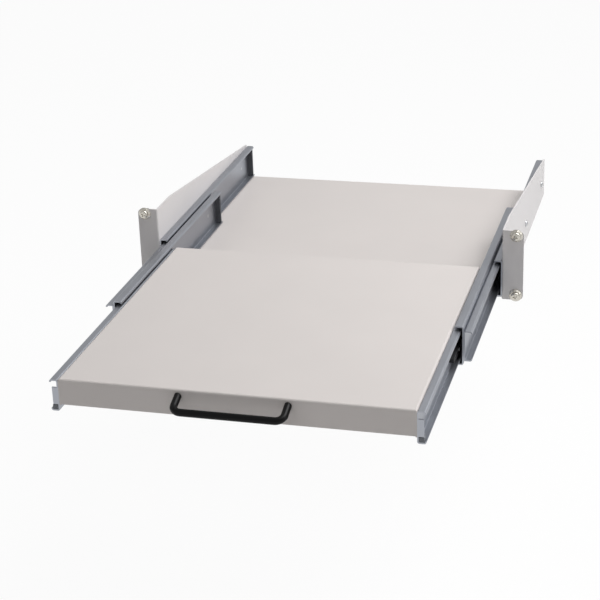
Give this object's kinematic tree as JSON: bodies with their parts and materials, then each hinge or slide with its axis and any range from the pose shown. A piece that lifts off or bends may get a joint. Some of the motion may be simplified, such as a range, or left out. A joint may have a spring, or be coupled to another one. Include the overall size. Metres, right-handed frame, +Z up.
{
  "type": "rack mount keyboard shelf",
  "caption": "Sliding keyboard shelf for a 19 inch rack: a shallow sheet tray with a bow handle runs out on telescopic ball bearing slides from slotted side brackets.",
  "frame": {"origin": "midway between the two rack flanges, in the plane of the posts' front faces, level with the top of the shelf", "axes": "+X to the right seen from the front, +Y into the rack, +Z up; at rest the shelf is fully pulled out towards -Y"},
  "size_m": [0.4826, 0.814, 0.1017],
  "materials": {
    "light_grey_paint": "fine powder coat, satin",
    "black_handle": "semi-gloss black coat",
    "black_plastic": "moulded, matte",
    "black_rubber": "matte",
    "polished_steel": "polished",
    "nickel_fastener": "nickel plated, bright",
    "zinc_fastener": "bright zinc",
    "zinc_plated_slide": "bluish zinc plate"
  },
  "bodies": {
    "frame": {"left_bracket": "light_grey_paint", "right_bracket": "light_grey_paint", "chassis_pan": "light_grey_paint", "pan_screws": "zinc_fastener", "left_outer_member": "zinc_plated_slide", "right_outer_member": "zinc_plated_slide", "outer_member_screws": "zinc_fastener", "outer_bumpers": "black_rubber", "rack_screws": "nickel_fastener", "cup_washers": "nickel_fastener"},
    "shelf_carriage": {"shelf": "light_grey_paint", "front_stiffener": "light_grey_paint", "rear_stiffener": "light_grey_paint", "left_inner_member": "zinc_plated_slide", "right_inner_member": "zinc_plated_slide", "inner_member_screws": "zinc_fastener", "bow_handle": "black_handle", "handle_screws": "zinc_fastener", "lever_pins": "zinc_fastener", "front_toes": "black_rubber"},
    "left_middle": {"left_middle_channel": "zinc_plated_slide", "left_middle_rail": "zinc_plated_slide", "left_middle_rivets": "zinc_fastener", "left_middle_bumper": "black_rubber"},
    "left_rear_cage": {"left_rear_ball_cage": "zinc_plated_slide", "left_rear_balls": "polished_steel"},
    "left_front_cage": {"left_front_ball_cage": "zinc_plated_slide", "left_front_balls": "polished_steel"},
    "left_lever": {"left_release_lever": "black_plastic"},
    "right_middle": {"right_middle_channel": "zinc_plated_slide", "right_middle_rail": "zinc_plated_slide", "right_middle_rivets": "zinc_fastener", "right_middle_bumper": "black_rubber"},
    "right_rear_cage": {"right_rear_ball_cage": "zinc_plated_slide", "right_rear_balls": "polished_steel"},
    "right_front_cage": {"right_front_ball_cage": "zinc_plated_slide", "right_front_balls": "polished_steel"},
    "right_lever": {"right_release_lever": "black_plastic"}
  },
  "joints": [
    {"name": "shelf_slide", "type": "slide", "parent": "frame", "child": "shelf_carriage", "axis": [0, 1, 0], "range_m": [0, 0.4]},
    {"name": "left_middle_slide", "type": "slide", "parent": "frame", "child": "left_middle", "axis": [0, 1, 0], "range_m": [0, 0.2]},
    {"name": "left_rear_cage_slide", "type": "slide", "parent": "frame", "child": "left_rear_cage", "axis": [0, 1, 0], "range_m": [0, 0.1]},
    {"name": "left_front_cage_slide", "type": "slide", "parent": "frame", "child": "left_front_cage", "axis": [0, 1, 0], "range_m": [0, 0.3]},
    {"name": "left_lever_pivot", "type": "hinge", "parent": "shelf_carriage", "child": "left_lever", "pos_m": [-0.1948, -0.196, -0.025], "axis": [1, 0, 0], "range_deg": [0, 7], "stiffness_Nm_per_rad": 0.05, "springref_deg": -5.73},
    {"name": "right_middle_slide", "type": "slide", "parent": "frame", "child": "right_middle", "axis": [0, 1, 0], "range_m": [0, 0.2]},
    {"name": "right_rear_cage_slide", "type": "slide", "parent": "frame", "child": "right_rear_cage", "axis": [0, 1, 0], "range_m": [0, 0.1]},
    {"name": "right_front_cage_slide", "type": "slide", "parent": "frame", "child": "right_front_cage", "axis": [0, 1, 0], "range_m": [0, 0.3]},
    {"name": "right_lever_pivot", "type": "hinge", "parent": "shelf_carriage", "child": "right_lever", "pos_m": [0.1948, -0.196, -0.025], "axis": [1, 0, 0], "range_deg": [0, 7], "stiffness_Nm_per_rad": 0.05, "springref_deg": -5.73}
  ],
  "couplings": [
    {"joint": "left_middle_slide", "follows": "shelf_slide", "ratio": 0.5},
    {"joint": "left_rear_cage_slide", "follows": "shelf_slide", "ratio": 0.25},
    {"joint": "left_front_cage_slide", "follows": "shelf_slide", "ratio": 0.75},
    {"joint": "right_middle_slide", "follows": "shelf_slide", "ratio": 0.5},
    {"joint": "right_rear_cage_slide", "follows": "shelf_slide", "ratio": 0.25},
    {"joint": "right_front_cage_slide", "follows": "shelf_slide", "ratio": 0.75}
  ]
}
